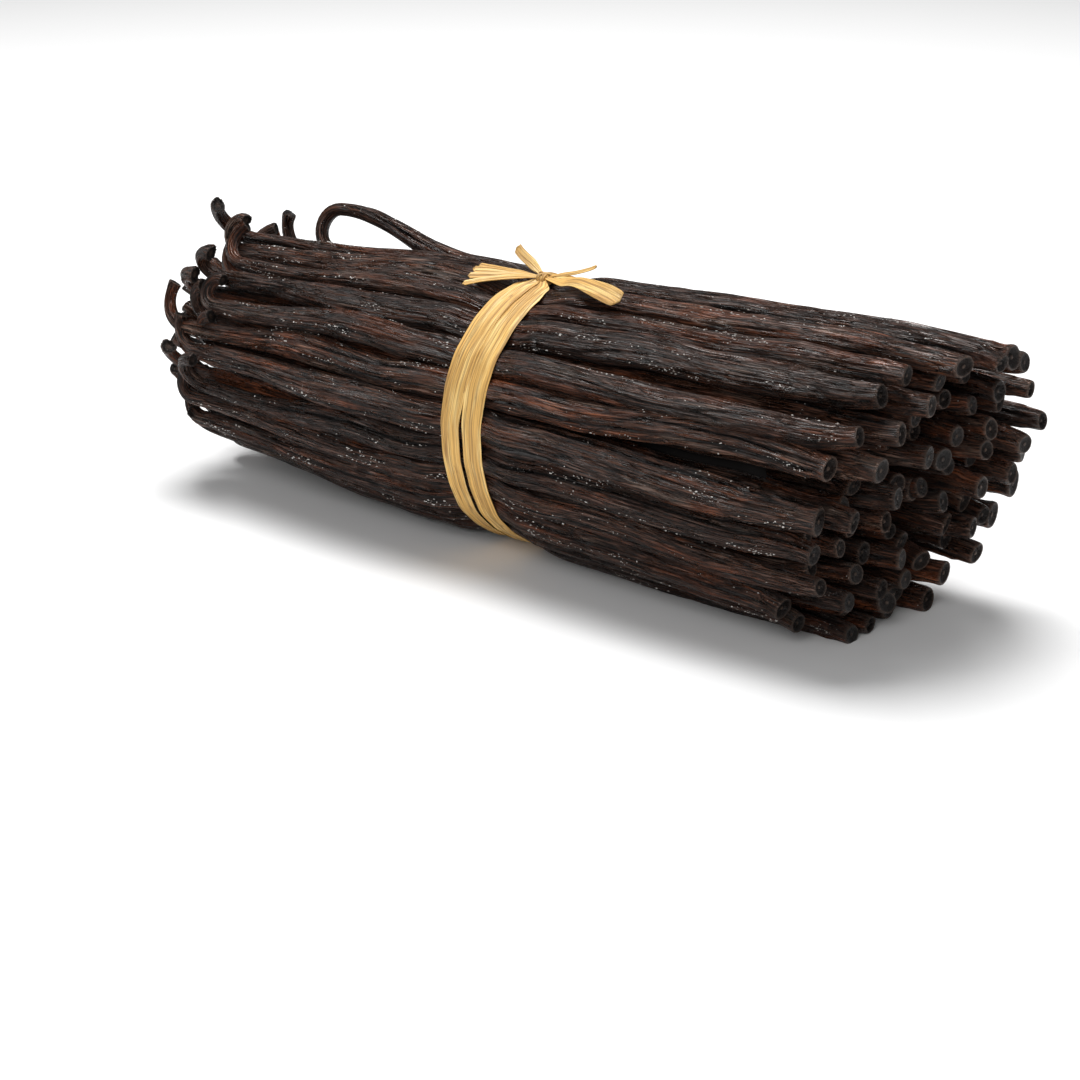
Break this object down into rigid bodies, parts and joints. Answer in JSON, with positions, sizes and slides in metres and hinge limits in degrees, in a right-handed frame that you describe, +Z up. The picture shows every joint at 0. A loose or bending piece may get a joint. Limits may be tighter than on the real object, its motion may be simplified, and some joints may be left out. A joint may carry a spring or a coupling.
{
  "type": "bundle of vanilla pods",
  "caption": "Thick bundle of long dried vanilla pods with curled stem ends, tied round its middle with a flat strip of raffia and a small knot on top.",
  "frame": {"origin": "centre of the underside of the bounding box, on the surface that the bundle lies on", "axes": "+X along the pods towards their blunt blossom ends, +Y across the bundle, +Z up through the knot"},
  "size_m": [0.2092, 0.0674, 0.0656],
  "materials": {
    "pod_skin": "near-black brown, finely wrinkled along its length, with an uneven oily gloss and small pale crystals",
    "raffia": "dry straw-coloured palm fibre with lengthwise pleats"
  },
  "bodies": {
    "root": {"vanilla_pods": "pod_skin", "raffia_tie": "raffia"}
  },
  "joints": []
}
